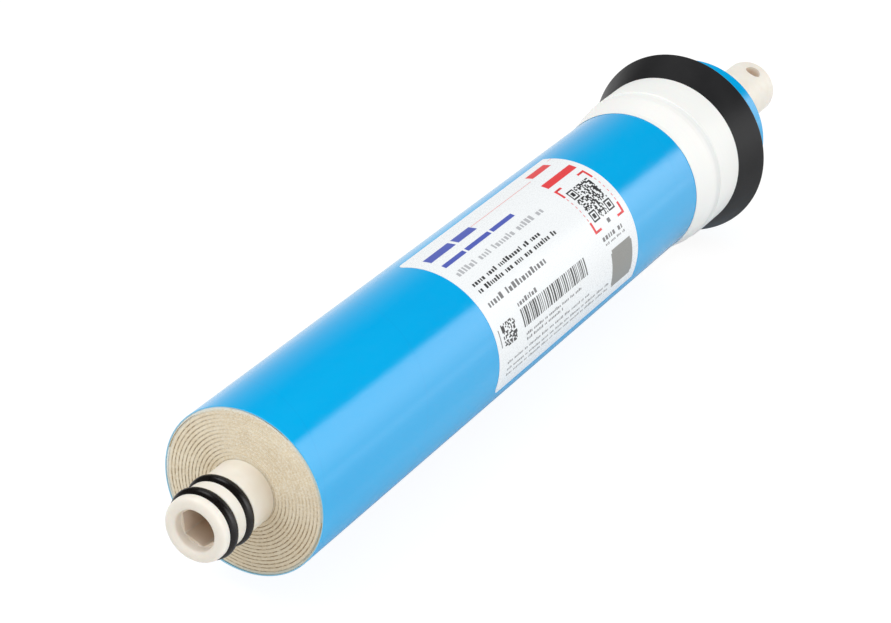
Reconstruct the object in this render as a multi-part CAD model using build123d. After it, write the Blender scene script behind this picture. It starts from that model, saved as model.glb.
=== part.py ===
from build123d import *
from math import acos, cos, degrees, floor, pi, radians, sin
import os

# Spiral-wound reverse osmosis membrane element.
# Millimetres and degrees. X runs along the tube from the O-ring end, Z is up.
# x = 0 is the end face of the roll. Angles about X start at +Y and rise towards +Z.

# Roll
roll_length = 254.0
roll_radius = 22.25
wrap_thickness = 0.3
fit_gap = 0.03

# Tube
tube_radius = 8.5
core_radius = 8.0
bore_radius = 4.4
spigot_length = 21.1
spigot_outer_round = 2.2
spigot_inner_chamfer = 0.9
mouth_radius = 5.4
mouth_depth = 3.2
socket_across_flats = 9.3
socket_depth_in_roll = 4.0
socket_flat_angle = 114.0
bore_past_roll = 8.0
stub_length = 39.7
stub_chamfer = 0.7
pull_hole_diameter = 4.8
pull_hole_from_tip = 5.4
permeate_hole_diameter = 1.6
permeate_hole_pitch = 56.0
permeate_hole_count = 4

# O-rings
ring_section = 2.8
ring_sides = 8
ring_floor_gap = 0.05
groove_width = 3.3
groove_floor_radius = 6.5
groove_from_tip = 4.45
groove_pitch = 6.7
groove_count = 2

# Winding of the leaves, seen from the O-ring end
leaf_count = 2
leaf_pitch = 1.94
leaf_thickness = 0.68
leaf_first_radius = 8.94
leaf_start_angle = 185.1
leaf_tip_thickness = 0.1
leaf_recess = 0.15
carrier_recess = 0.25
turn_slack = 1e-6

# Glue seams in the underside of each leaf, near its outer end
seam_end_thickness = 0.306
seam_thickness_drop = 0.062
seam_span_turns = 0.1
seam_start_thickness = 0.06
seam_cover = 0.13
seam_recess = 0.3

# Label, near the middle of the roll
label_before_middle = 0.9
label_width = 81.0
label_start_angle = 69.1
label_end_angle = 202.9
label_thickness = 0.1
label_gap = 0.02
label_corner_radius = 2.0

# Tape: wound up into a ramp in front of the seal, then over the seal's sleeve.
# A length that ends in "back" is measured back from the roll's far end, here and on the seal.
tape_gap = 0.05
tape_start_back = 50.3
tape_ramp_start_back = 48.0
tape_ramp_end_back = 39.5
tape_step_back = 35.4
tape_end_back = 22.7
tape_edge_thickness = 0.25
tape_ramp_height = 1.55
tape_step_height = 0.35
tape_thickness = 0.5

# Brine seal
seal_gap = 0.05
seal_start_back = 36.6
seal_end_back = 16.0
lip_root_inset = 0.1
lip_rim_back = 14.0
lip_rim_height = 6.15
lip_thickness = 1.3
notch_start_back = 19.5
inner_leg_thickness = 1.1

overrun = 1.0

# Derived
wrap_inner_radius = roll_radius - wrap_thickness
spigot_tip = -spigot_length
stub_tip = roll_length + stub_length
winding_clip_radius = wrap_inner_radius - fit_gap
half_growth = leaf_pitch / 2
roll_middle = roll_length / 2
label_start = roll_middle - label_before_middle - label_width / 2
tape_floor_radius = roll_radius + tape_gap
tape_ramp_radius = roll_radius + tape_ramp_height
tape_outer_radius = tape_ramp_radius + tape_step_height
tape_inner_radius = tape_outer_radius - tape_thickness
tape_end = roll_length - tape_end_back
seal_start = roll_length - seal_start_back
lip_rim_radius = roll_radius + lip_rim_height
axis_x = Vector(1, 0, 0)


def turned(edges):
    return revolve(Face(Wire(edges)), Axis.X, 360)


def at(along, radius):
    return Vector(along, radius, 0)


def around(angle, radius, along=0.0):
    return Vector(along, radius * cos(radians(angle)), radius * sin(radians(angle)))


def cross_hole(along, start_radius, diameter):
    # A hole that starts at a radius below the axis if negative, and runs out past the tube.
    section = Plane(origin=around(socket_flat_angle, start_radius, along), z_dir=around(socket_flat_angle, 1))
    depth = tube_radius + overrun - start_radius
    return section * Cylinder(diameter / 2, depth, align=(Align.CENTER, Align.CENTER, Align.MIN))


# Tube


def tube_blank():
    crest = mouth_radius + spigot_inner_chamfer
    outer_start = spigot_tip + spigot_outer_round
    bore_start = spigot_tip + spigot_inner_chamfer
    mouth_end = spigot_tip + mouth_depth
    bore_end = roll_length + bore_past_roll
    return turned([
        Line(at(bore_start, mouth_radius), at(spigot_tip, crest)),
        RadiusArc(at(spigot_tip, crest), at(outer_start, tube_radius), spigot_outer_round),
        Line(at(outer_start, tube_radius), at(0, tube_radius)),
        Line(at(0, tube_radius), at(0, core_radius)),
        Line(at(0, core_radius), at(roll_length, core_radius)),
        Line(at(roll_length, core_radius), at(roll_length, tube_radius)),
        Line(at(roll_length, tube_radius), at(stub_tip - stub_chamfer, tube_radius)),
        Line(at(stub_tip - stub_chamfer, tube_radius), at(stub_tip, tube_radius - stub_chamfer)),
        Line(at(stub_tip, tube_radius - stub_chamfer), at(stub_tip, 0)),
        Line(at(stub_tip, 0), at(bore_end, 0)),
        Line(at(bore_end, 0), at(bore_end, bore_radius)),
        Line(at(bore_end, bore_radius), at(mouth_end, bore_radius)),
        Line(at(mouth_end, bore_radius), at(mouth_end, mouth_radius)),
        Line(at(mouth_end, mouth_radius), at(bore_start, mouth_radius)),
    ])


def ring_positions():
    first = spigot_tip + groove_from_tip
    return [first + groove_pitch * i for i in range(groove_count)]


def groove(along):
    outer = Cylinder(tube_radius + overrun, groove_width)
    inner = Cylinder(groove_floor_radius, groove_width + overrun)
    return Plane(origin=(along, 0, 0), z_dir=axis_x) * (outer - inner)


def hex_socket():
    start = spigot_tip + mouth_depth - overrun
    section = Plane(origin=(start, 0, 0), x_dir=around(socket_flat_angle, 1), z_dir=axis_x)
    hexagon = RegularPolygon(socket_across_flats / 2, 6, major_radius=False, rotation=30)
    return extrude(section * hexagon, socket_depth_in_roll - start)


def permeate_tube():
    tube = tube_blank() - hex_socket()
    for along in ring_positions():
        tube -= groove(along)
    first = roll_middle - permeate_hole_pitch * (permeate_hole_count - 1) / 2
    for i in range(permeate_hole_count):
        tube -= cross_hole(first + permeate_hole_pitch * i, 0, permeate_hole_diameter)
    pull_hole = stub_tip - pull_hole_from_tip
    return tube - cross_hole(pull_hole, -tube_radius - overrun, pull_hole_diameter)


def o_ring(along):
    # The round section has flats, which keep the ring's facets few.
    centre = groove_floor_radius + ring_floor_gap + ring_section / 2
    section = RegularPolygon(ring_section / 2, ring_sides, major_radius=False, rotation=180 / ring_sides)
    return revolve(Location((along, centre, 0)) * section, Axis.X, 360)


# Winding. Each half turn is an arc, centred in turn on either side of the axis, so that the
# sheets stay parallel. A turn is counted outwards from the leaf's start, and the angle falls
# as it grows. An offset is measured outwards from the leaf's underside.


def leaf_angle(index):
    return leaf_start_angle + 360 / leaf_count * index


def arc_radius(half):
    return leaf_first_radius + half_growth * half + half_growth / 2


def wound_point(half, turn, offset, index):
    side = -1 if half % 2 == 0 else 1
    centre = around(leaf_angle(index), side * half_growth / 2)
    return centre + around(leaf_angle(index) - 360 * turn, arc_radius(half) + offset)


def turn_at(radius, offset):
    # The turn where a sheet face at this offset is this far from the axis.
    half = floor((radius - offset - leaf_first_radius) / half_growth)
    shift = half_growth / 2
    reach = arc_radius(half) + offset
    swept = degrees(acos((shift ** 2 + reach ** 2 - radius ** 2) / (2 * shift * reach)))
    return (half + swept / 180) / 2


def wound_arc(half, start, end, start_offset, end_offset, index):
    middle = wound_point(half, (start + end) / 2, (start_offset + end_offset) / 2, index)
    first = wound_point(half, start, start_offset, index)
    return ThreePointArc(first, middle, wound_point(half, end, end_offset, index))


def wound_face(start, end, start_offset, end_offset, index):
    # A face from start to end, as one arc for each half turn, with its offset rising evenly.
    rise = (end_offset - start_offset) / (end - start)
    arcs = []
    half = floor(2 * start + turn_slack)
    while half / 2 < end - turn_slack:
        arc_start = max(start, half / 2)
        arc_end = min(end, (half + 1) / 2)
        low = start_offset + rise * (arc_start - start)
        high = start_offset + rise * (arc_end - start)
        arcs.append(wound_arc(half, arc_start, arc_end, low, high, index))
        half += 1
    return arcs


def step(turn, low, high, index):
    half = floor(2 * turn + turn_slack)
    return Line(wound_point(half, turn, low, index), wound_point(half, turn, high, index))


def wound_solid(edges, recess):
    face = Location((recess, 0, 0)) * Face(Wire(edges))
    return extrude(face, roll_length - 2 * recess, dir=axis_x)


def gap_turns(radius):
    return fit_gap / (2 * pi * radius)


def sheet(start, end, low, high, index, recess):
    faces = wound_face(start, end, low, low, index) + wound_face(start, end, high, high, index)
    ends = [step(start, low, high, index), step(end, low, high, index)]
    return wound_solid(faces + ends, recess)


def seam_thickness(index):
    return seam_end_thickness - seam_thickness_drop * index


def seam_end_turn(index):
    underside = winding_clip_radius - seam_cover - seam_thickness(index)
    return (underside - leaf_first_radius) / leaf_pitch


def seam_solid(index, grow, recess):
    # A wedge that thickens outwards to its blunt end.
    spread = grow / (2 * pi * winding_clip_radius)
    start = seam_end_turn(index) - seam_span_turns - spread
    end = seam_end_turn(index) + spread
    low = -grow
    start_high = seam_start_thickness + grow
    end_high = seam_thickness(index) + grow
    faces = wound_face(start, end, low, low, index) + wound_face(start, end, start_high, end_high, index)
    ends = [step(start, low, start_high, index), step(end, low, end_high, index)]
    return wound_solid(faces + ends, recess)


def membrane_leaf(index):
    start = gap_turns(leaf_first_radius)
    tip = turn_at(winding_clip_radius - leaf_tip_thickness, 0)
    wound = sheet(start, tip, 0, leaf_thickness, index, leaf_recess)
    clip = Plane(origin=(roll_middle, 0, 0), z_dir=axis_x) * Cylinder(winding_clip_radius, roll_length)
    return (wound & clip) - seam_solid(index, fit_gap, 0)


def leaf_seam(index):
    return seam_solid(index, 0, seam_recess)


def permeate_carrier():
    # A cam with one lobe under the start of each leaf.
    edges = []
    for i in range(leaf_count):
        edges += wound_face(0, 1 / leaf_count, -fit_gap, -fit_gap, i)
        edges.append(step(1 / leaf_count, -fit_gap, -fit_gap - leaf_pitch / leaf_count, i))
    cam = wound_solid(edges, carrier_recess)
    bore = Plane(origin=(roll_middle, 0, 0), z_dir=axis_x) * Cylinder(core_radius + fit_gap, roll_length)
    return cam - bore


# Outside


def closed(corners):
    return [Line(corners[i - 1], corners[i]) for i in range(len(corners))]


def outer_wrap():
    corners = [
        at(0, wrap_inner_radius),
        at(0, roll_radius),
        at(roll_length, roll_radius),
        at(roll_length, wrap_inner_radius),
    ]
    return turned(closed(corners))


def corner_cut(angle, side):
    # What rounds off a corner of the label, with side +1 at its end and -1 at its start angle.
    plane = Plane(origin=around(angle, roll_radius, label_start), x_dir=axis_x, z_dir=around(angle, 1))
    middle = (label_corner_radius - overrun) / 2
    block = Pos(middle, side * middle) * Rectangle(label_corner_radius + overrun, label_corner_radius + overrun)
    disc = Pos(label_corner_radius, side * label_corner_radius) * Circle(label_corner_radius)
    return extrude(plane * (block - disc), overrun, both=True)


def product_label():
    inner = roll_radius + label_gap
    label_end = label_start + label_width
    section = closed([
        at(label_start, inner),
        at(label_start, inner + label_thickness),
        at(label_end, inner + label_thickness),
        at(label_end, inner),
    ])
    sweep = label_end_angle - label_start_angle
    sheet = revolve(Face(Wire(section)), Axis.X, sweep).rotate(Axis.X, label_start_angle)
    return sheet - corner_cut(label_start_angle, -1) - corner_cut(label_end_angle, 1)


def seal_tape():
    tape_start = roll_length - tape_start_back
    tape_step = roll_length - tape_step_back
    corners = [
        at(tape_start, tape_floor_radius),
        at(tape_start, roll_radius + tape_edge_thickness),
        at(roll_length - tape_ramp_start_back, roll_radius + tape_edge_thickness),
        at(roll_length - tape_ramp_end_back, tape_ramp_radius),
        at(tape_step, tape_ramp_radius),
        at(tape_step, tape_outer_radius),
        at(tape_end, tape_outer_radius),
        at(tape_end, tape_inner_radius),
        at(seal_start - seal_gap, tape_inner_radius),
        at(seal_start - seal_gap, tape_floor_radius),
    ]
    return turned(closed(corners))


def brine_seal():
    bore = roll_radius + seal_gap
    sleeve = tape_inner_radius - seal_gap
    lip_start = tape_end + seal_gap
    lip_root = at(lip_start, tape_outer_radius - lip_root_inset)
    rim = at(roll_length - lip_rim_back, lip_rim_radius)
    slope = (rim - lip_root).normalized()
    rim_inner = rim + Vector(slope.Y, -slope.X, 0) * lip_thickness
    seal_end = roll_length - seal_end_back
    corners = [
        at(seal_start, bore),
        at(seal_start, sleeve),
        at(lip_start, sleeve),
        lip_root,
        rim,
        rim_inner,
        at(roll_length - notch_start_back, bore + inner_leg_thickness),
        at(seal_end, bore + inner_leg_thickness),
        at(seal_end, bore),
    ]
    return turned(closed(corners))


def build_all():
    nodes = {"permeate_tube": permeate_tube()}
    for i, along in enumerate(ring_positions()):
        nodes[f"o_ring_{i + 1}"] = o_ring(along)
    nodes["permeate_carrier"] = permeate_carrier()
    for i in range(leaf_count):
        nodes[f"membrane_leaf_{i + 1}"] = membrane_leaf(i)
        nodes[f"leaf_seam_{i + 1}"] = leaf_seam(i)
    nodes["outer_wrap"] = outer_wrap()
    nodes["product_label"] = product_label()
    nodes["brine_seal"] = brine_seal()
    nodes["seal_tape"] = seal_tape()
    return nodes


os.makedirs("parts", exist_ok=True)
for name, shape in build_all().items():
    export_step(shape, f"parts/{name}.step")
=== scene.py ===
import math
import random

import bmesh
import bpy
from mathutils import Matrix, Vector


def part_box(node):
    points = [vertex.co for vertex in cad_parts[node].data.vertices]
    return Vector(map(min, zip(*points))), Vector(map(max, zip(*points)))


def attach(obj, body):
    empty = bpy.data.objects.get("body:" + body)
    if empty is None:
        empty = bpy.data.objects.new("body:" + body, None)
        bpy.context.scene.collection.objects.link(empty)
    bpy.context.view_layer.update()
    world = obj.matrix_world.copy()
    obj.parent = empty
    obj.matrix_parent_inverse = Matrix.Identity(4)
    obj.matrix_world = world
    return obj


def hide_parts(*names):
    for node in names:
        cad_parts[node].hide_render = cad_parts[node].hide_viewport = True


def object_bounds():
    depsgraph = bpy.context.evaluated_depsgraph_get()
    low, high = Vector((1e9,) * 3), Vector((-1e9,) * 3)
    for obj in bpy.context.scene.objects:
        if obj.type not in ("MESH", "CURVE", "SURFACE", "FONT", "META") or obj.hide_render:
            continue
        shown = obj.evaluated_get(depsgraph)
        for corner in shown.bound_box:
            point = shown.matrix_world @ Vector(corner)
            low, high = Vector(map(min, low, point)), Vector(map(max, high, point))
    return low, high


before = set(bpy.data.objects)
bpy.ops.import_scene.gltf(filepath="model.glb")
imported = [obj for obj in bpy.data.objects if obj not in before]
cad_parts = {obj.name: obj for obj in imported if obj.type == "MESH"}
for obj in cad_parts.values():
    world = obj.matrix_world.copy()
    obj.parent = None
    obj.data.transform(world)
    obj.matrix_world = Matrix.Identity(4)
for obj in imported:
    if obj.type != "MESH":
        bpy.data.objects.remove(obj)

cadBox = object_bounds()
mm = 0.001
random.seed(7)

# Most values of a noise texture lie in this range.
noiseRange = (0.3, 0.7)


# Geometry helpers. Profiles are in millimetres: length along X, then radius about X.


def shadeSmooth(mesh, sharpAngle):
    for face in mesh.polygons:
        face.use_smooth = True
    mesh.set_sharp_from_angle(angle=math.radians(sharpAngle))


def newObject(name, bm, material, node=None, sharpAngle=35.0):
    mesh = bpy.data.meshes.new(name)
    bm.to_mesh(mesh)
    bm.free()
    shadeSmooth(mesh, sharpAngle)
    obj = bpy.data.objects.new(name, mesh)
    bpy.context.scene.collection.objects.link(obj)
    mesh.materials.append(material)
    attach(obj, "root")
    if node:
        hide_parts(node)
    return obj


def mergedCopy(node, name, material, sharpAngle=28.0, mergeWithin=0.002):
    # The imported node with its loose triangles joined, so that it shades smoothly.
    bm = bmesh.new()
    bm.from_mesh(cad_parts[node].data)
    bmesh.ops.remove_doubles(bm, verts=bm.verts, dist=mergeWithin * mm)
    return newObject(name, bm, material, node, sharpAngle)


def roundedProfile(corners, steps=5, longestShare=0.6):
    # Corners are (x, radius, rounding). Each rounding is an arc that takes at most this share of a side.
    points = []
    for i, (x, r, rounding) in enumerate(corners):
        here = Vector((x, r))
        if rounding <= 0:
            points.append((x, r))
            continue
        before = Vector(corners[i - 1][:2]) - here
        after = Vector(corners[(i + 1) % len(corners)][:2]) - here
        half = before.angle(after) / 2
        back = min(rounding / math.tan(half), longestShare * before.length, longestShare * after.length)
        radius = back * math.tan(half)
        centre = here + (before.normalized() + after.normalized()).normalized() * (radius / math.sin(half))
        start = here + before.normalized() * back - centre
        end = here + after.normalized() * back - centre
        sweep = start.angle_signed(end)
        for k in range(steps + 1):
            turn = -sweep * k / steps
            point = centre + Vector((
                start.x * math.cos(turn) - start.y * math.sin(turn),
                start.x * math.sin(turn) + start.y * math.cos(turn),
            ))
            points.append((point.x, point.y))
    return points


def heldProfile(profile, closed, hold=0.2):
    # Extra points near the ends of each long run keep its shading straight.
    points = []
    for i in range(len(profile)):
        points.append(profile[i])
        if i == len(profile) - 1 and not closed:
            break
        start, end = Vector(profile[i]), Vector(profile[(i + 1) % len(profile)])
        run = end - start
        if run.length > 5 * hold:
            step = run.normalized() * hold
            points += [tuple(start + step), tuple(end - step)]
    return points


def lathe(profile, steps, closed=True, mergeWithin=0.001):
    bm = bmesh.new()
    profile = heldProfile(profile, closed)
    verts = [bm.verts.new((x * mm, r * mm, 0)) for x, r in profile]
    edges = [bm.edges.new((verts[i - 1], verts[i])) for i in range(0 if closed else 1, len(verts))]
    bmesh.ops.spin(
        bm, geom=verts + edges, cent=(0, 0, 0), axis=(1, 0, 0), angle=2 * math.pi, steps=steps, use_merge=True
    )
    bmesh.ops.remove_doubles(bm, verts=bm.verts, dist=mergeWithin * mm)
    bmesh.ops.recalc_face_normals(bm, faces=bm.faces)
    return bm


def onCylinder(along, radius, angle):
    turn = math.radians(angle)
    return Vector((along * mm, radius * math.cos(turn) * mm, radius * math.sin(turn) * mm))


def clamped(value):
    return min(max(value, 0.0), 1.0)


# Node helpers


def startMaterial(name):
    material = bpy.data.materials.new(name)
    material.use_nodes = True
    tree = material.node_tree
    shader = tree.nodes["Principled BSDF"]
    return material, tree, shader


def setInputs(tree, made, inputs):
    # Each input is linked if its value is a socket, and set if it is plain.
    for key, value in inputs.items():
        if isinstance(value, bpy.types.NodeSocket):
            tree.links.new(value, made.inputs[key])
        else:
            made.inputs[key].default_value = value


def addNode(tree, kind, inputs=None, **settings):
    made = tree.nodes.new(kind)
    for key, value in settings.items():
        setattr(made, key, value)
    setInputs(tree, made, inputs or {})
    return made


def calc(tree, operation, first, second=0.0, third=0.0):
    made = addNode(tree, "ShaderNodeMath", {0: first, 1: second, 2: third}, operation=operation)
    return made.outputs[0]


def multiply(tree, first, second):
    return calc(tree, "MULTIPLY", first, second)


def subtract(tree, first, second):
    return calc(tree, "SUBTRACT", first, second)


def blend(tree, factor, first, second):
    # Between two colours, each a socket or three plain values
    colours = [value if isinstance(value, bpy.types.NodeSocket) else (*value, 1.0) for value in (first, second)]
    made = addNode(tree, "ShaderNodeMix", data_type="RGBA")
    setInputs(tree, made, {0: factor, 6: colours[0], 7: colours[1]})
    return made.outputs[2]


def ramp(tree, value, low, high, toLow=0.0, toHigh=1.0):
    made = addNode(tree, "ShaderNodeMapRange", {0: value, 1: low, 2: high, 3: toLow, 4: toHigh})
    return made.outputs[0]


def noise(tree, vector, scale, detail=3.0, roughness=0.5):
    inputs = {"Vector": vector, "Scale": scale, "Detail": detail, "Roughness": roughness}
    return addNode(tree, "ShaderNodeTexNoise", inputs).outputs["Fac"]


def stretchedNoise(tree, vector, scales, detail=3.0, roughness=0.5):
    scaled = addNode(tree, "ShaderNodeVectorMath", {0: vector, 1: scales}, operation="MULTIPLY")
    return noise(tree, scaled.outputs[0], 1.0, detail, roughness)


def finishShader(tree, shader, look, colour, roughness, height):
    # The end of every material. Specular and subsurface values are plain, and set only where the look has them.
    distance, strength = look["bump"]
    relief = addNode(tree, "ShaderNodeBump", {"Height": height, "Distance": distance, "Strength": strength})
    setInputs(tree, shader, {"Base Color": colour, "Roughness": roughness, "Normal": relief.outputs["Normal"]})
    for key, socket in (
        ("specular", "Specular IOR Level"),
        ("subsurface", "Subsurface Weight"),
        ("subsurfaceRadius", "Subsurface Radius"),
        ("subsurfaceScale", "Subsurface Scale"),
    ):
        if key in look:
            shader.inputs[socket].default_value = look[key]


def facing(tree, turn, angle):
    # 1 where the surface lies at this angle about X, -1 on the opposite side
    return calc(tree, "COSINE", multiply(tree, subtract(tree, turn, angle / 360), 2 * math.pi))


def objectPoint(tree):
    return addNode(tree, "ShaderNodeTexCoord").outputs["Object"]


def polarGroup():
    # Turns object coordinates into length along X, radius and angle, in millimetres and turns.
    group = bpy.data.node_groups.new("polarPoint", "ShaderNodeTree")
    group.interface.new_socket("Point", in_out="INPUT", socket_type="NodeSocketVector")
    for name in ("Along", "Radius", "Turn"):
        group.interface.new_socket(name, in_out="OUTPUT", socket_type="NodeSocketFloat")
    start = group.nodes.new("NodeGroupInput")
    end = group.nodes.new("NodeGroupOutput")
    x, y, z = addNode(group, "ShaderNodeSeparateXYZ", {0: start.outputs["Point"]}).outputs
    squares = calc(group, "ADD", multiply(group, y, y), multiply(group, z, z))
    setInputs(group, end, {
        "Along": multiply(group, x, 1 / mm),
        "Radius": multiply(group, calc(group, "SQRT", squares), 1 / mm),
        "Turn": calc(group, "DIVIDE", calc(group, "ARCTAN2", z, y), 2 * math.pi),
    })
    return group


polar = polarGroup()


def polarPoint(tree):
    made = addNode(tree, "ShaderNodeGroup", node_tree=polar)
    tree.links.new(objectPoint(tree), made.inputs["Point"])
    return made.outputs["Along"], made.outputs["Radius"], made.outputs["Turn"]


# Permeate tube: cream moulded plastic with a hexagonal socket and a cross hole. A setting of two or four
# numbers that ends in Fade holds where a tint starts and ends, and how strong it is at each.

tubeLook = {
    "steps": 160,
    "roundSteps": 8,
    "sharpAngle": 32.0,
    "radius": 8.5,
    "core": 8.0,
    "bore": 4.4,
    "boreEnd": 262.0,
    "mouth": 5.4,
    "mouthEnd": -17.9,
    "mouthFloorRound": 0.25,
    "mouthRound": 1.15,
    "noseRound": 1.85,
    "tipRound": 0.6,
    "grooves": (-16.65, -9.95),
    "grooveHalf": 1.65,
    "grooveFloor": 6.5,
    "grooveRound": 0.2,
    "socketFlats": 9.3,
    "socketEnd": 4.0,
    "socketAngle": 114.0,
    "pullHole": 2.4,
    "pullHoleAt": 288.3,
    "pullHoleSides": 64,
    "overrun": 1,
    "light": (0.86, 0.82, 0.745),
    "shade": (0.82, 0.77, 0.68),
    "shadeFade": (0.35, 0.7),
    "cloudScale": 260.0,
    "flowScales": (25.0, 320.0, 320.0),
    "insideShade": (0.70, 0.50, 0.34),
    "insideRadiusFade": (5.5, 5.2),
    "insideStartFade": (-20.6, -6.0, 0.3, 1.0),
    "insideEndFade": (262.6, 262.4),
    "holeRadiusFade": (8.3, 7.0),
    "holeFade": (2.7, 2.45, 0.0, 0.6),
    "root": (0.62, 0.54, 0.42),
    "rootShadeStartFade": (-7.5, -1.0),
    "rootShadeEndFade": (1.0, 0.0),
    "rootShadeAngle": 180,
    "rootShadeSideFade": (0.1, 0.8, 0.0, 0.75),
    "front": (0.70, 0.66, 0.58),
    "frontShadeFade": (-20.2, -21.0, 0.0, 0.5),
    "roughness": (0.28, 0.42),
    "specular": 0.4,
    "subsurface": 0.2,
    "subsurfaceRadius": (1.0, 0.62, 0.38),
    "subsurfaceScale": 0.0018,
    "bump": (0.00002, 0.5),
}


def tubeMaterial():
    look = tubeLook
    material, tree, shader = startMaterial("creamPlastic")
    point = objectPoint(tree)
    along, radius, turn = polarPoint(tree)
    cloud = noise(tree, point, look["cloudScale"], 4.0)
    flow = stretchedNoise(tree, point, look["flowScales"], 2.0)
    colour = blend(tree, ramp(tree, cloud, *look["shadeFade"]), look["light"], look["shade"])
    # Painted shade: a warm dark tint inside the bore and the socket, and in the pull hole.
    insideShade = multiply(tree, ramp(tree, radius, *look["insideRadiusFade"]), ramp(tree, along, *look["insideStartFade"]))
    insideShade = multiply(tree, insideShade, ramp(tree, along, *look["insideEndFade"]))
    colour = blend(tree, insideShade, colour, look["insideShade"])
    offHole = calc(tree, "ABSOLUTE", subtract(tree, along, look["pullHoleAt"]))
    hole = multiply(tree, ramp(tree, radius, *look["holeRadiusFade"]), ramp(tree, offHole, *look["holeFade"]))
    colour = blend(tree, hole, colour, look["insideShade"])
    # Painted shade: the moulding is a little darker beside the roll, most on one side.
    root = multiply(tree, ramp(tree, along, *look["rootShadeStartFade"]), ramp(tree, along, *look["rootShadeEndFade"]))
    root = multiply(tree, root, ramp(tree, facing(tree, turn, look["rootShadeAngle"]), *look["rootShadeSideFade"]))
    colour = blend(tree, root, colour, look["root"])
    # Painted shade: the nose's front face is tinted darker.
    colour = blend(tree, ramp(tree, along, *look["frontShadeFade"]), colour, look["front"])
    finishShader(tree, shader, look, colour, ramp(tree, flow, *noiseRange, *look["roughness"]), flow)
    return material


def cutter(name, sides, radius, start, length, direction):
    # A prism along a direction, kept in memory only until it has cut.
    bm = bmesh.new()
    bmesh.ops.create_cone(
        bm, cap_ends=True, segments=sides, radius1=radius * mm, radius2=radius * mm, depth=length * mm
    )
    turned = Vector(direction).to_track_quat("Z", "Y").to_matrix().to_4x4()
    middle = (Vector(start) + Vector(direction).normalized() * length / 2) * mm
    bm.transform(Matrix.Translation(middle) @ turned)
    mesh = bpy.data.meshes.new(name)
    bm.to_mesh(mesh)
    bm.free()
    return bpy.data.objects.new(name, mesh)


def cutAway(obj, tool):
    bpy.context.scene.collection.objects.link(tool)
    modifier = obj.modifiers.new("cut", "BOOLEAN")
    modifier.operation = "DIFFERENCE"
    modifier.solver = "EXACT"
    modifier.object = tool
    shape = bpy.context.evaluated_depsgraph_get()
    cutMesh = bpy.data.meshes.new_from_object(obj.evaluated_get(shape))
    obj.modifiers.clear()
    obj.data = cutMesh
    bpy.data.objects.remove(tool)


def buildTube():
    look = tubeLook
    low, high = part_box("permeate_tube")
    tip = low.x / mm
    far = high.x / mm
    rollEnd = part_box("outer_wrap")[1].x / mm
    outer = look["radius"]
    corners = [
        (look["boreEnd"], 0, 0),
        (look["boreEnd"], look["bore"], 0),
        (look["mouthEnd"], look["bore"], 0),
        (look["mouthEnd"], look["mouth"], look["mouthFloorRound"]),
        (tip, look["mouth"], look["mouthRound"]),
        (tip, outer, look["noseRound"]),
    ]
    for middle in look["grooves"]:
        for side, radius in ((-1, outer), (-1, look["grooveFloor"]), (1, look["grooveFloor"]), (1, outer)):
            corners.append((middle + side * look["grooveHalf"], radius, look["grooveRound"]))
    corners += [
        (0, outer, 0),
        (0, look["core"], 0),
        (rollEnd, look["core"], 0),
        (rollEnd, outer, 0),
        (far, outer, look["tipRound"]),
        (far, 0, 0),
    ]
    bm = lathe(roundedProfile(corners, look["roundSteps"]), look["steps"], closed=False)
    tube = newObject("tubeMoulding", bm, tubeMaterial(), "permeate_tube")
    turn = math.radians(look["socketAngle"])
    outwards = Vector((0, math.cos(turn), math.sin(turn)))
    hexRadius = look["socketFlats"] / 2 / math.cos(math.pi / 6)
    start = look["mouthEnd"] - look["overrun"]
    depth = look["socketEnd"] - look["mouthEnd"] + look["overrun"]
    socket = cutter("socketCut", 6, hexRadius, (start, 0, 0), depth, (1, 0, 0))
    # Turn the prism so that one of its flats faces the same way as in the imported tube.
    flat = socket.data.polygons[0].normal
    socket.data.transform(Matrix.Rotation(turn - math.atan2(flat.z, flat.y), 4, "X"))
    cutAway(tube, socket)
    reach = outer + look["overrun"]
    start = Vector((look["pullHoleAt"], 0, 0)) - outwards * reach
    cutAway(tube, cutter("holeCut", look["pullHoleSides"], look["pullHole"], start, 2 * reach, outwards))
    shadeSmooth(tube.data, look["sharpAngle"])
    print("tube built")


# O-rings: greased black rubber

ringLook = {
    "sectionSteps": 28,
    "steps": 144,
    "section": 1.4,
    "filmScale": 900.0,
    "dark": (0.003, 0.002, 0.002),
    "light": (0.009, 0.007, 0.006),
    "roughness": (0.24, 0.34),
    "specular": 0.3,
    "bump": (0.00001, 0.4),
}


def ringMaterial():
    material, tree, shader = startMaterial("ringRubber")
    film = noise(tree, objectPoint(tree), ringLook["filmScale"])
    colour = blend(tree, film, ringLook["dark"], ringLook["light"])
    finishShader(tree, shader, ringLook, colour, ramp(tree, film, *noiseRange, *ringLook["roughness"]), film)
    return material


def buildRings():
    material = ringMaterial()
    section = ringLook["section"]
    for name in ("o_ring_1", "o_ring_2"):
        low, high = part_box(name)
        middle = (low.x + high.x) / 2 / mm
        centre = high.z / mm - section
        profile = []
        for i in range(ringLook["sectionSteps"]):
            turn = 2 * math.pi * i / ringLook["sectionSteps"]
            profile.append((middle + section * math.cos(turn), centre + section * math.sin(turn)))
        bm = lathe(profile, ringLook["steps"])
        newObject(name.replace("o_ring", "greasedRing"), bm, material, name)
    print("rings built")


# Roll: the winding that its pieces share, and the look of its cut end

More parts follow.
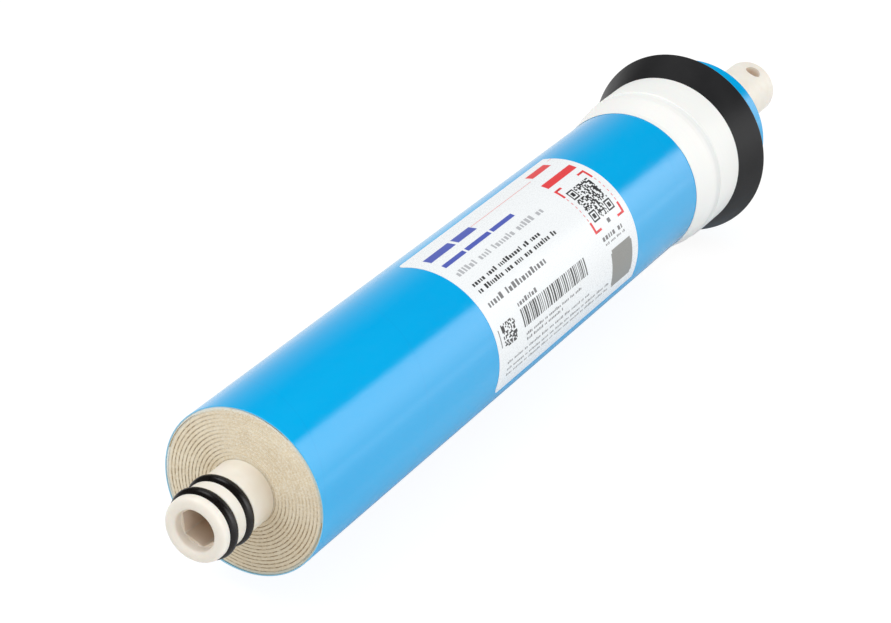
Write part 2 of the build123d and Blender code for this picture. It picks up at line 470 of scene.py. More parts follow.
rollLook = {
    "pitch": 1.94,
    "firstRadius": 8.94,
    "startAngle": 185.1,
    "turnSlack": 1e-6,
    "leafThickness": 0.68,
    "lineDepth": 0.825,
    "lineCoreShare": 0.45,
    "fibreNoise": (2600.0, 4.0, 0.6),
    "cloudNoise": (160.0, 3.0),
    "speckNoise": (900.0, 2.0, 0.5),
    "light": (0.85, 0.745, 0.545),
    "shade": (0.73, 0.60, 0.40),
    "shadeFade": (0.46, 0.32, 0.0, 0.5),
    "skin": (0.88, 0.81, 0.67),
    "skinFade": (0.16, 0.04, 0.0, 0.5),
    "pale": (0.94, 0.89, 0.78),
    "paleFade": (0.42, 0.72, 0.0, 0.55),
    "faceShade": (0.50, 0.405, 0.27),
    "faceShadeAngle": 238,
    "faceShadeFade": (0.1, 0.9, 0.0, 0.42),
    "line": (0.20, 0.12, 0.05),
    "brokenFade": (0.36, 0.56, 0.3, 1.0),
    "coveredFade": (0.0, 1.0, 1.0, 0.16),
    "smear": (0.92, 0.88, 0.79),
    "smearAngle": 120,
    "smearFade": (0.25, 0.75),
    "fluffFade": (0.48, 0.62, 0.0, 0.5),
    "rim": (0.86, 0.91, 0.88),
    "rimShade": (0.52, 0.58, 0.53),
    "rimFade": (20.9, 21.7),
    "rimSpeckFade": (0.3, 0.6, 0.4, 0.95),
    "rimAngle": 60,
    "rimLightFade": (-0.4, 0.7),
}

leafLook = {"lineWidth": 0.13, "layer": 0.085, "layerHeight": 4.0, "roughness": 0.7, "bump": (0.00012, 0.8)}
carrierLook = {"lineWidth": 0.08, "layer": 0.11, "layerHeight": 3.0, "roughness": 0.8, "bump": (0.00012, 0.7)}

seamLook = {
    "cloudScale": 700.0,
    "dark": (0.46, 0.27, 0.08),
    "light": (0.66, 0.46, 0.20),
    "roughness": 0.28,
    "subsurface": 0.3,
    "subsurfaceRadius": (1.0, 0.5, 0.15),
    "subsurfaceScale": 0.001,
    "bump": (0.00008, 0.6),
}

netLook = {
    "thickness": 0.26,
    "gap": 0.015,
    "recess": 0.19,
    "smearedRecessShare": 0.1,
    "start": 0.5,
    "startGap": 0.002,
    "end": 6.66,
    "stepsPerTurn": 72,
    "strandsPerTurn": 90,
    "lineWidth": 0.125,
    "roughness": 0.6,
    "bump": (0.00005, 0.5),
}


def sheetDepth(tree):
    # How far a point lies outwards from the underside of its turn, in millimetres. The whole turns and
    # layers that are added keep every value above zero.
    wholeTurns = 4
    wholeLayers = 10
    radius, turn = polarPoint(tree)[1:]
    halfGrowth = rollLook["pitch"] / 2
    halfTurns = multiply(tree, subtract(tree, rollLook["startAngle"] / 360 + wholeTurns, turn), 2.0)
    swept = calc(tree, "COSINE", multiply(tree, calc(tree, "FRACT", halfTurns), math.pi))
    growth = multiply(tree, subtract(tree, 1.0, swept), halfGrowth / 2)
    outwards = subtract(tree, radius, rollLook["firstRadius"] - wholeLayers * halfGrowth)
    return calc(tree, "MODULO", subtract(tree, outwards, growth), halfGrowth), radius, turn


def cutEdge(tree, lineWidth):
    # Cream fibre with a thin broken brown line where the net is, partly painted shade, and a pale film near the wrap
    look = rollLook
    point = objectPoint(tree)
    depth, radius, turn = sheetDepth(tree)
    fibre = noise(tree, point, *look["fibreNoise"])
    cloud = noise(tree, point, *look["cloudNoise"])
    speck = noise(tree, point, *look["speckNoise"])
    colour = blend(tree, ramp(tree, cloud, *noiseRange), look["light"], look["shade"])
    centre = calc(tree, "ABSOLUTE", subtract(tree, depth, look["leafThickness"] / 2))
    colour = blend(tree, ramp(tree, centre, *look["skinFade"]), colour, look["skin"])
    colour = blend(tree, ramp(tree, fibre, *look["paleFade"]), colour, look["pale"])
    colour = blend(tree, ramp(tree, fibre, *look["shadeFade"]), colour, look["shade"])
    # Painted shade: the cut face is darker on its lower side.
    faceShade = ramp(tree, facing(tree, turn, look["faceShadeAngle"]), *look["faceShadeFade"])
    colour = blend(tree, faceShade, colour, look["faceShade"])
    # On one side the knife has smeared the fibres over the lines.
    smear = ramp(tree, facing(tree, turn, look["smearAngle"]), *look["smearFade"])
    broken = multiply(tree, ramp(tree, speck, *look["brokenFade"]), ramp(tree, smear, *look["coveredFade"]))
    # The dark line is partly the net's strands and partly painted shade of the gaps between them in the channel.
    offset = calc(tree, "ABSOLUTE", subtract(tree, depth, look["lineDepth"]))
    line = multiply(tree, ramp(tree, offset, lineWidth, lineWidth * look["lineCoreShare"]), broken)
    colour = blend(tree, line, colour, look["line"])
    fluff = multiply(tree, ramp(tree, fibre, *look["fluffFade"]), smear)
    colour = blend(tree, fluff, colour, look["smear"])
    # Painted light and shade: the pale film near the wrap is lighter on its upper side and darker below.
    rim = multiply(tree, ramp(tree, radius, *look["rimFade"]), ramp(tree, speck, *look["rimSpeckFade"]))
    light = ramp(tree, facing(tree, turn, look["rimAngle"]), *look["rimLightFade"])
    colour = blend(tree, rim, colour, blend(tree, light, look["rimShade"], look["rim"]))
    return colour, fibre, depth, radius, turn


def leafMaterial():
    material, tree, shader = startMaterial("leafEdge")
    colour, fibre, depth, _, _ = cutEdge(tree, leafLook["lineWidth"])
    layer = multiply(tree, calc(tree, "PINGPONG", depth, leafLook["layer"]), leafLook["layerHeight"])
    finishShader(tree, shader, leafLook, colour, leafLook["roughness"], calc(tree, "ADD", fibre, layer))
    return material


def carrierMaterial():
    material, tree, shader = startMaterial("carrierKnit")
    colour, fibre, _, radius, _ = cutEdge(tree, carrierLook["lineWidth"])
    layer = multiply(tree, calc(tree, "PINGPONG", radius, carrierLook["layer"]), carrierLook["layerHeight"])
    finishShader(tree, shader, carrierLook, colour, carrierLook["roughness"], calc(tree, "ADD", fibre, layer))
    return material


def seamMaterial():
    material, tree, shader = startMaterial("seamGlue")
    cloud = noise(tree, objectPoint(tree), seamLook["cloudScale"])
    colour = blend(tree, cloud, seamLook["dark"], seamLook["light"])
    finishShader(tree, shader, seamLook, colour, seamLook["roughness"], cloud)
    return material


def netMaterial():
    material, tree, shader = startMaterial("spacerNet")
    colour, fibre, _, _, turn = cutEdge(tree, netLook["lineWidth"])
    strands = calc(tree, "SINE", multiply(tree, turn, 2 * math.pi * netLook["strandsPerTurn"]))
    finishShader(tree, shader, netLook, colour, netLook["roughness"], calc(tree, "ADD", strands, fibre))
    return material


def sheetPoint(turn, offset, index, along):
    # On the same two-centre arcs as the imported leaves
    halfGrowth = rollLook["pitch"] / 2
    half = math.floor(2 * turn + rollLook["turnSlack"])
    start = math.radians(rollLook["startAngle"] + 180 * index)
    shift = (-1 if half % 2 == 0 else 1) * halfGrowth / 2
    angle = start - 2 * math.pi * turn
    radius = rollLook["firstRadius"] + halfGrowth * half + halfGrowth / 2 + offset
    return Vector((
        along * mm,
        (shift * math.cos(start) + radius * math.cos(angle)) * mm,
        (shift * math.sin(start) + radius * math.sin(angle)) * mm,
    ))


def buildNet(index, length, material):
    # The net lies in the channel under a turn, and comes up to the face where the fibres are smeared.
    look = netLook
    bm = bmesh.new()
    outer = -look["gap"]
    inner = outer - look["thickness"]
    smearLow, smearHigh = rollLook["smearFade"]
    count = round((look["end"] - look["start"]) * look["stepsPerTurn"])
    rows = []
    for i in range(count + 1):
        turn = look["start"] + look["startGap"] + (look["end"] - look["start"] - look["startGap"]) * i / count
        off = math.radians(rollLook["startAngle"] + 180 * index - 360 * turn - rollLook["smearAngle"])
        smear = clamped((math.cos(off) - smearLow) / (smearHigh - smearLow))
        recess = look["recess"] * (1 - (1 - look["smearedRecessShare"]) * smear)
        corners = ((inner, recess), (outer, recess), (outer, length - recess), (inner, length - recess))
        rows.append([bm.verts.new(sheetPoint(turn, offset, index, along)) for offset, along in corners])
    for first, second in zip(rows, rows[1:]):
        for k in range(4):
            bm.faces.new((first[k], first[(k + 1) % 4], second[(k + 1) % 4], second[k]))
    bm.faces.new(rows[0])
    bm.faces.new(reversed(rows[-1]))
    bmesh.ops.recalc_face_normals(bm, faces=bm.faces)
    newObject(f"spacerNet_{index + 1}", bm, material)


def buildRoll():
    leaf = leafMaterial()
    seam = seamMaterial()
    net = netMaterial()
    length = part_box("outer_wrap")[1].x / mm
    mergedCopy("permeate_carrier", "carrierWound", carrierMaterial())
    for index in range(2):
        mergedCopy(f"membrane_leaf_{index + 1}", f"leafWound_{index + 1}", leaf)
        mergedCopy(f"leaf_seam_{index + 1}", f"seamBead_{index + 1}", seam)
        buildNet(index, length, net)
    print("roll built")


# Outer wrap: glossy blue film, wound aslant with a faint lap line

wrapLook = {
    "steps": 256,
    "roundSteps": 3,
    "thickness": 0.3,
    "edge": 0.08,
    "blue": (0.0, 0.405, 0.79),
    "deep": (0.0, 0.38, 0.765),
    "deepFade": (0.35, 0.65),
    "cloudScales": (12.0, 40.0, 40.0),
    "fineScales": (300.0, 900.0, 900.0),
    "windPitch": 48.0,
    "lap": (0.0, 0.22, 0.60),
    "lapFade": (0.0, 0.006, 1.0, 0.0),
    "lapStrength": 0.12,
    "lapHeight": 0.25,
    "cutEdge": (0.30, 0.58, 0.74),
    "cutEdgeFade": (22.20, 22.12),
    "roughness": (0.11, 0.17),
    "bump": (0.00012, 0.35),
}


def wrapMaterial():
    look = wrapLook
    material, tree, shader = startMaterial("blueFilm")
    point = objectPoint(tree)
    along, radius, turn = polarPoint(tree)
    cloud = stretchedNoise(tree, point, look["cloudScales"], 3.0)
    fine = stretchedNoise(tree, point, look["fineScales"], 2.0)
    wind = calc(tree, "FRACT", calc(tree, "ADD", calc(tree, "DIVIDE", along, look["windPitch"]), turn))
    lap = ramp(tree, calc(tree, "ABSOLUTE", subtract(tree, wind, 0.5)), *look["lapFade"])
    colour = blend(tree, ramp(tree, cloud, *look["deepFade"]), look["blue"], look["deep"])
    colour = blend(tree, multiply(tree, lap, look["lapStrength"]), colour, look["lap"])
    colour = blend(tree, ramp(tree, radius, *look["cutEdgeFade"]), colour, look["cutEdge"])
    height = calc(tree, "ADD", cloud, multiply(tree, lap, look["lapHeight"]))
    finishShader(tree, shader, look, colour, ramp(tree, fine, *noiseRange, *look["roughness"]), height)
    return material


def buildWrap():
    low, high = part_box("outer_wrap")
    radius = high.z / mm
    inner = radius - wrapLook["thickness"]
    corners = [
        (low.x / mm, inner, wrapLook["edge"]),
        (low.x / mm, radius, wrapLook["edge"]),
        (high.x / mm, radius, wrapLook["edge"]),
        (high.x / mm, inner, wrapLook["edge"]),
    ]
    bm = lathe(roundedProfile(corners, wrapLook["roundSteps"]), wrapLook["steps"])
    newObject("filmSleeve", bm, wrapMaterial(), "outer_wrap")
    print("wrap built")


# Tape: white film wound over the seal's sleeve. Its outline gives the distance from its first edge, the
# depth under its top and the rounding of each corner.

tapeLook = {
    "steps": 256,
    "roundSteps": 4,
    "outline": (
        (1.0, 1.85, 0),
        (1.0, 1.68, 0.08),
        (2.6, 1.62, 3.0),
        (10.8, 0.37, 2.0),
        (13.6, 0.42, 0.4),
        (14.7, 0.34, 0.12),
        (14.95, 0, 0.16),
    ),
    "endRound": 0.12,
    "thickness": 0.5,
    "underStep": 13.65,
    "floorDepth": 1.85,
    "slant": (0.35, -0.55, -0.35),
    "slantEnd": 10,
    "slantReach": 8.0,
    "white": (0.885, 0.88, 0.855),
    "grey": (0.88, 0.88, 0.855),
    "greyFade": (0.35, 0.65),
    "cloudNoise": (90.0, 2.0),
    "ringScales": (900.0, 30.0, 30.0),
    "ringNoise": (4.0, 0.6),
    "ringHeight": 0.5,
    "over": (0.62, 0.63, 0.63),
    "stepShadeStartFade": (215.6, 217.2),
    "stepShadeEndFade": (218.9, 218.5),
    "stepShadeAngle": 180,
    "stepShadeSideFade": (0.2, 0.9, 0.0, 0.42),
    "roughness": (0.30, 0.42),
    "specular": 0.38,
    "subsurface": 0.08,
    "subsurfaceScale": 0.001,
    "bump": (0.00025, 0.35),
}


def tapeMaterial():
    look = tapeLook
    material, tree, shader = startMaterial("whiteFilm")
    point = objectPoint(tree)
    along, _, turn = polarPoint(tree)
    rings = stretchedNoise(tree, point, look["ringScales"], *look["ringNoise"])
    cloud = noise(tree, point, *look["cloudNoise"])
    colour = blend(tree, ramp(tree, cloud, *look["greyFade"]), look["white"], look["grey"])
    # Painted shade along the step where the film rises over the seal's sleeve edge, strongest on one side.
    over = multiply(tree, ramp(tree, along, *look["stepShadeStartFade"]), ramp(tree, along, *look["stepShadeEndFade"]))
    over = multiply(tree, over, ramp(tree, facing(tree, turn, look["stepShadeAngle"]), *look["stepShadeSideFade"]))
    colour = blend(tree, over, colour, look["over"])
    height = calc(tree, "ADD", multiply(tree, rings, look["ringHeight"]), cloud)
    finishShader(tree, shader, look, colour, ramp(tree, rings, *noiseRange, *look["roughness"]), height)
    return material


def buildTape():
    look = tapeLook
    low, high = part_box("seal_tape")
    edge = low.x / mm
    far = high.x / mm
    top = high.z / mm
    corners = [(edge + along, top - depth, rounding) for along, depth, rounding in look["outline"]]
    corners += [
        (far, top, look["endRound"]),
        (far, top - look["thickness"], 0),
        (edge + look["underStep"], top - look["thickness"], 0),
        (edge + look["underStep"], top - look["floorDepth"], 0),
    ]
    bm = lathe(roundedProfile(corners, look["roundSteps"]), look["steps"])
    # The first wind lies a little aslant.
    base, alongY, alongZ = look["slant"]
    for vert in bm.verts:
        share = clamped((edge + look["slantEnd"] - vert.co.x / mm) / look["slantReach"])
        vert.co.x += (base + (alongY * vert.co.y + alongZ * vert.co.z) / (top * mm)) * share * mm
    newObject("tapeWound", bm, tapeMaterial(), "seal_tape")
    print("tape built")


# Brine seal: moulded rubber with a flared lip. Each pair under lean is the size and the angle of a wave
# in the lip's edge, with no wave, one, two and three of them round the lip.

sealLook = {
    "steps": 256,
    "roundSteps": 6,
    "sharpAngle": 40.0,
    "bore": 22.3,
    "sleeve": 23.6,
    "lipRoot": 24.05,
    "lipRootAt": 231.35,
    "lipEndAt": (240.0, 240.58),
    "lipEndThickness": 1.16,
    "rimRound": 0.45,
    "notch": 23.4,
    "notchAt": 234.5,
    "notchRound": 0.5,
    "legEndAt": 238.0,
    "legRounds": (0.3, 0.2),
    "lean": ((0.98, 0.0), (0.27, -10.0), (0.45, 48.0), (0.03, 22.0)),
    "leanStartAt": 231.4,
    "leanStart": 24.2,
    "leanReach": 4.0,
    "dark": (0.011, 0.011, 0.012),
    "light": (0.020, 0.020, 0.021),
    "cloudNoise": (120.0, 3.0),
    "grainNoise": (2400.0, 2.0),
    "grainHeight": 0.15,
    "roughness": (0.30, 0.40),
    "specular": 0.17,
    "bump": (0.0003, 0.35),
}


def sealMaterial():
    look = sealLook
    material, tree, shader = startMaterial("sealRubber")
    point = objectPoint(tree)
    cloud = noise(tree, point, *look["cloudNoise"])
    grain = noise(tree, point, *look["grainNoise"])
    colour = blend(tree, cloud, look["dark"], look["light"])
    height = calc(tree, "ADD", multiply(tree, grain, look["grainHeight"]), cloud)
    finishShader(tree, shader, look, colour, ramp(tree, cloud, *noiseRange, *look["roughness"]), height)
    return material


def leanLip(bm):
    # The soft lip stands slightly askew and wavy, as it does in the photograph.
    for vert in bm.verts:
        if vert.co.x / mm <= sealLook["leanStartAt"]:
            continue
        radius = math.hypot(vert.co.y, vert.co.z) / mm
        angle = math.atan2(vert.co.z, vert.co.y)
        share = clamped((radius - sealLook["leanStart"]) / sealLook["leanReach"])
        waves = enumerate(sealLook["lean"])
        shift = sum(size * math.cos(i * (angle - math.radians(peak))) for i, (size, peak) in waves)
        vert.co.x += shift * share * mm


def buildSeal():
    look = sealLook
    low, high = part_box("brine_seal")
    start = low.x / mm
    rim = high.z / mm
    frontAt, backAt = look["lipEndAt"]
    outerRound, innerRound = look["legRounds"]
    corners = [
        (start, look["bore"], 0),
        (start, look["sleeve"], 0),
        (look["lipRootAt"], look["sleeve"], 0),
        (look["lipRootAt"], look["lipRoot"], 0),
        (frontAt, rim, look["rimRound"]),
        (backAt, rim - look["lipEndThickness"], look["rimRound"]),
        (look["notchAt"], look["notch"], look["notchRound"]),
        (look["legEndAt"], look["notch"], outerRound),
        (look["legEndAt"], look["bore"], innerRound),
    ]
    bm = lathe(roundedProfile(corners, look["roundSteps"]), look["steps"])
    leanLip(bm)
    newObject("lipSeal", bm, sealMaterial(), "brine_seal", look["sharpAngle"])
    print("seal built")


# Label: coated paper

paperLook = {
    "light": (0.86, 0.885, 0.895),
    "shade": (0.84, 0.865, 0.88),
    "cloudNoise": (140.0, 3.0),
    "grainNoise": (3200.0, 2.0),
    "roughness": (0.26, 0.29),
    "specular": 0.4,
    "bump": (0.0001, 0.15),
}


def paperMaterial():
    look = paperLook
    material, tree, shader = startMaterial("coatedPaper")
    point = objectPoint(tree)
    cloud = noise(tree, point, *look["cloudNoise"])
    grain = noise(tree, point, *look["grainNoise"])
    colour = blend(tree, cloud, look["light"], look["shade"])
    finishShader(tree, shader, look, colour, ramp(tree, grain, *noiseRange, *look["roughness"]), cloud)
    return material


# Its print: plain bars, blocks and cells. Regions are (left, right, top, bottom) on a drawing of the label,
# whose columns and rows the grid turns into places and angles on the roll.

inkLook = {
    "blue": (0.07, 0.10, 0.42),
    "red": (0.70, 0.045, 0.05),
    "black": (0.03, 0.03, 0.032),
    "grey": (0.16, 0.16, 0.165),
    "pale": (0.42, 0.43, 0.45),
    "silver": (0.25, 0.25, 0.235),
}

inkFinish = {
    "grainNoise": (4200.0, 2.0),
    "lighterTimes": 1.15,
    "lighterPlus": 0.01,
    "lighterFade": (0.35, 0.7),
    "roughness": (0.28, 0.40),
    "specular": 0.3,
    "bump": (0.000004, 0.2),
}

printLook = {
    "lift": 0.006,
    "angleStep": 1.5,
    "grid": {"start": -5, "step": 0.2, "middleAngle": 134.11, "middleRow": 360, "rowsPerDegree": 4},
    "blockWidths": (0.34, 0.5, 0.62),
    "blockTops": (0.0, 0.28, 0.28, 0.28),
    "blockGap": 0.3,
    "wordGap": 0.75,
    "nestCells": 7,
    "headings": (
        ("blue", (474, 598, 155, 182), (13.0, 10.0), 1.4),
        ("blue", (474, 664, 212, 227), (11.0, 12.5, 12.0), 1.0),
    ),
    "lines": (
        ("pale", (472, 715, 254, 273), 2.2, (6, 4, 7, 5)),
        ("black", (474, 660, 306, 320), 1.6, (5, 4, 10, 2, 6)),
        ("black", (474, 690, 329, 344), 1.6, (2, 8, 3, 4, 3, 7, 6)),
        ("grey", (472, 642, 370, 389), 2.2, (5, 13)),
        ("grey", (526, 582, 421, 435), 1.7, (9,)),
        ("grey", (768, 832, 431, 448), 1.9, (5, 3)),
        ("grey", (771, 832, 455, 462), 1.0, (3, 4, 4)),
    ),
    "fineLines": ((528, 688, 511), (528, 636, 526), (475, 710, 549), (475, 773, 569), (475, 772, 586)),
    "fineHeight": 8,
    "fineSize": 1.0,
    "fineWords": (4, 7, 2, 8, 5, 3, 6),
    "patches": (
        ("red", (598, 768, 160, 161.6)),
        ("red", (846, 857, 128, 129.6)),
        ("red", (778, 832, 130, 156)),
        ("red", (760, 845, 200, 225)),
    ),
    "bracketColumns": ((758, 777, 764), (826, 845, 833)),
    "bracketRows": ((244, 251), (409, 416)),
    "bracketInnerWidth": 6,
    "bracketInset": (2, 1),
    "bracketArms": ((758, 763), (840, 845)),
    "bracketArmRows": ((251, 280), (380, 409)),
    "dashColumns": ((759, 760.5), (842.5, 844)),
    "dashCount": 6,
    "dashStart": 286,
    "dashLength": 8,
    "dashStep": 16,
    "largeSquare": (770, 832, 270, 388),
    "largeCells": 25,
    "largeShare": 0.48,
    "pointer": (798, 806, 399, 412),
    "barColumns": (526.0, 706),
    "barRows": (443, 495),
    "barWidths": (1.6, 1.6, 3.0, 4.2),
    "barGaps": (1.6, 2.4, 3.4),
    "smallSquare": (472, 507, 443, 507),
    "smallCells": 14,
    "smallShare": 0.5,
    "sideLine": (463, 465, 450, 500),
    "shinyPatches": ((781, 837, 483, 599), (778, 781, 492, 590), (837, 840, 492, 590)),
}


def inkMaterial(name, colour):
    look = inkFinish
    material, tree, shader = startMaterial(name + "Ink")
    grain = noise(tree, objectPoint(tree), *look["grainNoise"])
    lighter = tuple(min(1.0, value * look["lighterTimes"] + look["lighterPlus"]) for value in colour)
    shown = blend(tree, ramp(tree, grain, *look["lighterFade"]), colour, lighter)
    finishShader(tree, shader, look, shown, ramp(tree, grain, *noiseRange, *look["roughness"]), grain)
    return material


def region(left, right, top, bottom):
    grid = printLook["grid"]
    places = [grid["start"] + grid["step"] * column for column in (left, right)]
    angles = [grid["middleAngle"] + (row - grid["middleRow"]) / grid["rowsPerDegree"] for row in (top, bottom)]
    return places + angles


def patch(bm, radius, x0, x1, angle0, angle1):
    steps = max(1, math.ceil(abs(angle1 - angle0) / printLook["angleStep"]))
    rows = []
    for i in range(steps + 1):
        angle = angle0 + (angle1 - angle0) * i / steps
        rows.append([bm.verts.new(onCylinder(x, radius, angle)) for x in (x0, x1)])
    for first, second in zip(rows, rows[1:]):
        bm.faces.new((first[0], first[1], second[1], second[0]))


def bars(bm, radius, x0, x1, angle0, angle1, wordLengths, gap):
    # A heading as plain bars, one for each word
    x = x0
    word = 0
    while x < x1 - gap:
        end = min(x + wordLengths[word % len(wordLengths)], x1)
        patch(bm, radius, x, end, angle0, angle1)
        x = end + gap
        word += 1


def smallPrint(bm, radius, x0, x1, angle0, angle1, size, words):
    # Small print as rows of plain blocks, in groups for words. A few blocks stand taller.
    x = x0
    word = 0
    left = words[0]
    while x < x1 - size:
        if left == 0:
            word = (word + 1) % len(words)
            left = words[word]
            x += printLook["wordGap"] * size
            continue
        width = size * random.choice(printLook["blockWidths"])
        top = angle0 + (angle1 - angle0) * random.choice(printLook["blockTops"])
        patch(bm, radius, x, x + width, top, angle1)
        x += width + printLook["blockGap"] * size
        left -= 1


def scatter(bm, radius, x0, x1, angle0, angle1, count, share, corners=()):
    # A square of scattered cells, with a nested square in each named corner
    size = printLook["nestCells"]
    stepX = (x1 - x0) / count
    stepA = (angle1 - angle0) / count

    def kept(index, atEnd):
        return index > count - size - 2 if atEnd else index < size + 1

    for row in range(count):
        for column in range(count):
            inCorner = any(kept(column, atX) and kept(row, atA) for atX, atA in corners)
            if not inCorner and random.random() < share:
                left = x0 + stepX * column
                low = angle0 + stepA * row
                patch(bm, radius, left, x0 + stepX * (column + 1), low, angle0 + stepA * (row + 1))
    for atX, atA in corners:
        left = x1 - size * stepX if atX else x0
        low = angle1 - size * stepA if atA else angle0
        # Top and bottom of the frame, its two sides, and the square in its middle, in cells
        for column0, column1, row0, row1 in (
            (0, size, 0, 1),
            (0, size, size - 1, size),
            (0, 1, 1, size - 1),
            (size - 1, size, 1, size - 1),
            (2, size - 2, 2, size - 2),
        ):
            patch(bm, radius, left + column0 * stepX, left + column1 * stepX, low + row0 * stepA, low + row1 * stepA)


def printBrackets(inks, radius):
    # A square in corner brackets, with dashes between them
    look = printLook
    above, below = look["bracketInset"]
    for left, right, inner in look["bracketColumns"]:
        for top, bottom in look["bracketRows"]:
            patch(inks["red"], radius, *region(left, right, top, bottom))
            place = region(inner, inner + look["bracketInnerWidth"], top + above, bottom - below)
            patch(inks["black"], radius, *place)
    for left, right in look["bracketArms"]:
        for top, bottom in look["bracketArmRows"]:
            patch(inks["red"], radius, *region(left, right, top, bottom))
    for k in range(look["dashCount"]):
        top = look["dashStart"] + look["dashStep"] * k
        for left, right in look["dashColumns"]:
            patch(inks["red"], radius, *region(left, right, top, top + look["dashLength"]))


def printBars(bm, radius):
    look = printLook
    x, end = look["barColumns"]
    while x < end:
        width = random.choice(look["barWidths"])
        patch(bm, radius, *region(x, x + width, *look["barRows"]))
        x += width + random.choice(look["barGaps"])


def buildLabel():
    look = printLook
    mergedCopy("product_label", "paperLabel", paperMaterial())
    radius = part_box("product_label")[1].z / mm + look["lift"]
    inks = {name: bmesh.new() for name in inkLook}
    for ink, place, words, gap in look["headings"]:
        bars(inks[ink], radius, *region(*place), words, gap)
    for ink, place, size, words in look["lines"]:
        smallPrint(inks[ink], radius, *region(*place), size, words)
    for left, right, top in look["fineLines"]:
        place = region(left, right, top, top + look["fineHeight"])
        smallPrint(inks["grey"], radius, *place, look["fineSize"], look["fineWords"])
    for ink, place in look["patches"]:
        patch(inks[ink], radius, *region(*place))
    printBrackets(inks, radius)
    nests = ((0, 0), (1, 1), (0, 1))
    scatter(inks["black"], radius, *region(*look["largeSquare"]), look["largeCells"], look["largeShare"], nests)
    patch(inks["grey"], radius, *region(*look["pointer"]))
    printBars(inks["black"], radius)
    scatter(inks["black"], radius, *region(*look["smallSquare"]), look["smallCells"], look["smallShare"])
    patch(inks["grey"], radius, *region(*look["sideLine"]))
    for place in look["shinyPatches"]:
        patch(inks["silver"], radius, *region(*place))
    for name, bm in inks.items():
        newObject("print_" + name, bm, inkMaterial(name, inkLook[name]))
    print("label built")


# Stage: white floor, white surround and soft lamps. The panels are what glossy surfaces see of the
# surround, as ranges of the direction's X, Y and Z.

stageLook = {
    "floorSize": 6.0,
    "floorPlace": (0.14, 0),
    "floorDrop": 0.0002,
    "floorShade": (0.84, 0.84, 0.84),
    "floorLight": (0.87, 0.87, 0.87),
    "floorNoise": (3.0, 2.0),
    "floorFrontFade": (-0.05, -0.22),
    "floorLift": 0.1,
    "floorPlain": 1.1,
    "floorPlainShare": 0.8,
    "ambient": 0.82,
    "panel": 2.8,
    "panelY": (-0.39, -0.45),
    "panelZ": (0.0, 0.25, 0.66, 1.0),
    "panelX": (0.5, 0.68),
    "sidePanel": 2.9,
    "sidePanelY": (-0.72, -0.92),
    "upperPanel": 1.2,
    "upperPanelZ": (0.6, 0.8),
    "upperPanelX": ((0.2, 0.35), (0.7, 0.55)),
    "horizon": 0.8,
    "horizonY": (0.05, 0.45),
    "horizonZ": (0.6, 0.0),
    "horizonX": (0.3, 0.6, 0.15, 1.0),
    "lampTarget": (0.13, 0, 0),
    "lamps": (
        ("keyLamp", (-0.35, -1.15, 0.50), 0.9, 3.3),
        ("topLamp", (-0.30, 0.35, 1.2), 0.7, 5.2),
    ),
}

cameraLook = {
    "place": (-0.467206, -0.318145, 0.328165),
    "forward": (0.77962192, 0.43963628, -0.44599283),
    "lens": 111.607,
    "sensor": 36.0,
}

white = (1, 1, 1, 1)


def floorMaterial():
    look = stageLook
    material, tree, shader = startMaterial("paleFloor")
    tree.nodes.remove(shader)
    point = objectPoint(tree)
    cloud = noise(tree, point, *look["floorNoise"])
    across = addNode(tree, "ShaderNodeSeparateXYZ", {0: point}).outputs[1]
    colour = blend(tree, cloud, look["floorShade"], look["floorLight"])
    paper = addNode(tree, "ShaderNodeBsdfDiffuse", {"Color": colour})
    path = addNode(tree, "ShaderNodeLightPath")
    seen = path.outputs["Is Camera Ray"]
    # Glossy surfaces see the front of the floor as lit.
    front = multiply(tree, path.outputs["Is Glossy Ray"], ramp(tree, across, *look["floorFrontFade"]))
    strength = calc(tree, "ADD", front, multiply(tree, seen, look["floorLift"]))
    glow = addNode(tree, "ShaderNodeEmission", {"Color": white, "Strength": strength})
    both = addNode(tree, "ShaderNodeAddShader", {0: paper.outputs[0], 1: glow.outputs[0]})
    # The camera sees it mostly as plain white, with the rest of its shadow.
    plain = addNode(tree, "ShaderNodeEmission", {"Color": white, "Strength": look["floorPlain"]})
    share = multiply(tree, seen, look["floorPlainShare"])
    mixed = addNode(tree, "ShaderNodeMixShader", {0: share, 1: both.outputs[0], 2: plain.outputs[0]})
    tree.links.new(mixed.outputs[0], tree.nodes["Material Output"].inputs["Surface"])
    return material


def buildFloor():
    bm = bmesh.new()
    bmesh.ops.create_grid(bm, x_segments=4, y_segments=4, size=stageLook["floorSize"])
    mesh = bpy.data.meshes.new("paleFloor")
    bm.to_mesh(mesh)
    bm.free()
    mesh.transform(Matrix.Translation((*stageLook["floorPlace"], cadBox[0][2] - stageLook["floorDrop"])))
    floor = bpy.data.objects.new("paleFloor", mesh)
    floor.data.materials.append(floorMaterial())
    bpy.context.scene.collection.objects.link(floor)


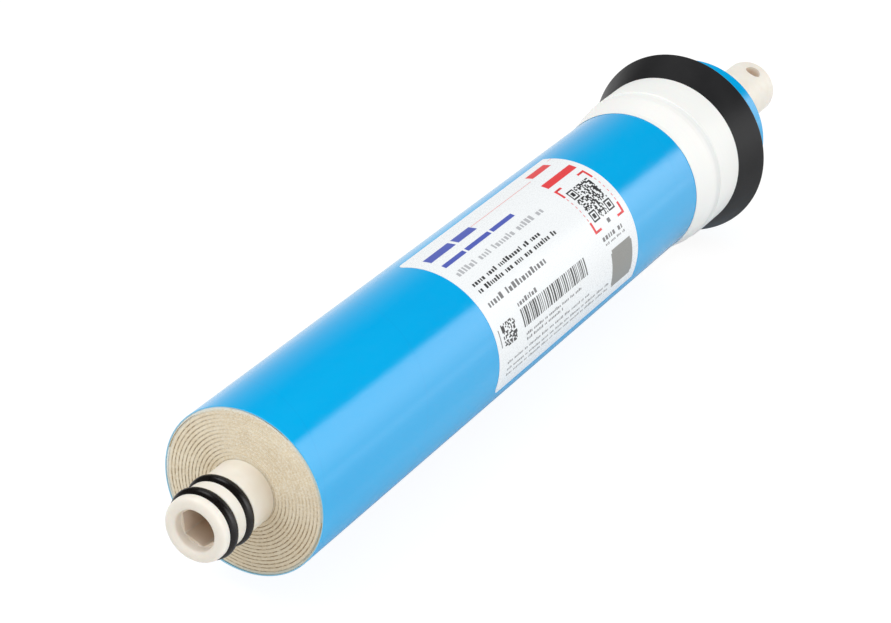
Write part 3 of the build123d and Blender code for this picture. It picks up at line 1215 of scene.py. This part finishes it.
def buildWorld():
    look = stageLook
    world = bpy.data.worlds.new("whiteSurround")
    bpy.context.scene.world = world
    world.use_nodes = True
    tree = world.node_tree
    tree.nodes.clear()
    direction = addNode(tree, "ShaderNodeTexCoord").outputs["Generated"]
    x, y, z = addNode(tree, "ShaderNodeSeparateXYZ", {0: direction}).outputs
    # Only the long side sees the first panel. The lip and the rings see narrower ones.
    panel = ramp(tree, y, *look["panelY"], 0.0, look["panel"])
    panel = multiply(tree, panel, ramp(tree, z, *look["panelZ"]))
    panel = multiply(tree, panel, ramp(tree, x, *look["panelX"]))
    panel = calc(tree, "MAXIMUM", panel, ramp(tree, y, *look["sidePanelY"], 0.0, look["sidePanel"]))
    upperStart, upperEnd = look["upperPanelX"]
    upper = multiply(tree, ramp(tree, x, *upperStart), ramp(tree, x, *upperEnd))
    upper = multiply(tree, upper, ramp(tree, z, *look["upperPanelZ"], 0.0, look["upperPanel"]))
    behind = multiply(tree, ramp(tree, y, *look["horizonY"]), ramp(tree, z, *look["horizonZ"]))
    behind = multiply(tree, behind, ramp(tree, x, *look["horizonX"]))
    behind = multiply(tree, behind, look["horizon"])
    reflected = calc(tree, "ADD", calc(tree, "ADD", panel, upper), behind)
    path = addNode(tree, "ShaderNodeLightPath")
    strength = addNode(tree, "ShaderNodeMix", {0: path.outputs["Is Glossy Ray"], 2: look["ambient"], 3: reflected})
    strength = addNode(tree, "ShaderNodeMix", {0: path.outputs["Is Camera Ray"], 2: strength.outputs[0], 3: 1.0})
    glow = addNode(tree, "ShaderNodeBackground", {"Color": white, "Strength": strength.outputs[0]})
    end = addNode(tree, "ShaderNodeOutputWorld")
    tree.links.new(glow.outputs[0], end.inputs["Surface"])


def buildLamps():
    target = Vector(stageLook["lampTarget"])
    for name, place, size, power in stageLook["lamps"]:
        data = bpy.data.lights.new(name, "AREA")
        data.shape = "DISK"
        data.size = size
        data.energy = power
        lamp = bpy.data.objects.new(name, data)
        lamp.location = place
        lamp.rotation_euler = (target - Vector(place)).to_track_quat("-Z", "Y").to_euler()
        bpy.context.scene.collection.objects.link(lamp)


def buildCamera():
    data = bpy.data.cameras.new("photoCamera")
    data.lens = cameraLook["lens"]
    data.sensor_width = cameraLook["sensor"]
    camera = bpy.data.objects.new("photoCamera", data)
    camera.location = cameraLook["place"]
    camera.rotation_euler = Vector(cameraLook["forward"]).to_track_quat("-Z", "Y").to_euler()
    bpy.context.scene.collection.objects.link(camera)
    bpy.context.scene.camera = camera
    bpy.context.scene.view_settings.view_transform = "Standard"


buildTube()
buildRings()
buildRoll()
buildWrap()
buildTape()
buildSeal()
buildLabel()
buildFloor()
buildWorld()
buildLamps()
buildCamera()
